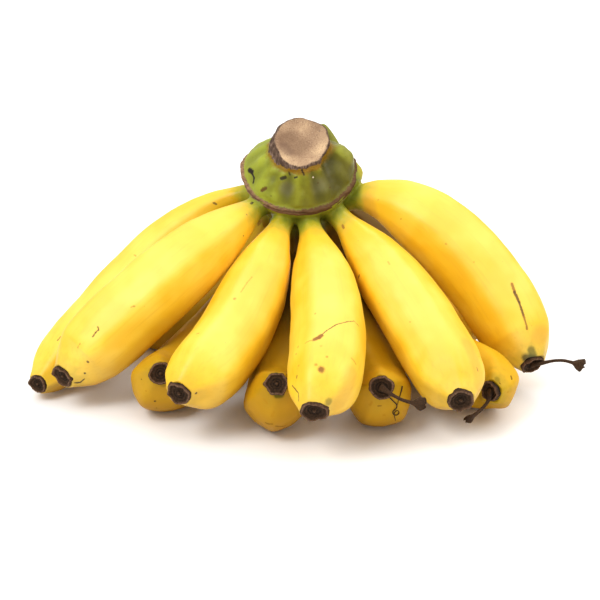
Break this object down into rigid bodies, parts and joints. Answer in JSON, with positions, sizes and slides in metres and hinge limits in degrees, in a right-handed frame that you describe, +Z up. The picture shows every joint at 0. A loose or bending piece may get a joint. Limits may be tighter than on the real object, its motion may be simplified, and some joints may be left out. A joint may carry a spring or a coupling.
{
  "type": "hand of bananas",
  "caption": "Hand of small ripe bananas on one cut crown, resting on the fingers of its lower row, with dry flower ends.",
  "frame": {"origin": "on the surface the hand rests on, under the middle of its outline", "axes": "+Z up, +X along the longest extent, to the right of someone who faces the fingers' tips; the tips point towards -Y"},
  "size_m": [0.2576, 0.161, 0.1201],
  "materials": {
    "crown_skin": "satin waxy green skin",
    "ripe_skin": "satin waxy yellow skin",
    "dry_flower": "matt, dry and rough"
  },
  "bodies": {
    "root": {"crown": "crown_skin", "finger_upper_1": "ripe_skin", "finger_upper_2": "ripe_skin", "finger_upper_3": "ripe_skin", "finger_upper_4": "ripe_skin", "finger_upper_5": "ripe_skin", "finger_upper_6": "ripe_skin", "finger_lower_1": "ripe_skin", "finger_lower_2": "ripe_skin", "finger_lower_3": "ripe_skin", "finger_lower_4": "ripe_skin", "finger_lower_5": "ripe_skin", "finger_lower_6": "ripe_skin", "flower_end_upper_1": "dry_flower", "flower_end_upper_2": "dry_flower", "flower_end_upper_3": "dry_flower", "flower_end_upper_4": "dry_flower", "flower_end_upper_5": "dry_flower", "flower_end_upper_6": "dry_flower", "flower_end_lower_1": "dry_flower", "flower_end_lower_2": "dry_flower", "flower_end_lower_3": "dry_flower", "flower_end_lower_4": "dry_flower", "flower_end_lower_5": "dry_flower", "flower_end_lower_6": "dry_flower"}
  },
  "joints": []
}
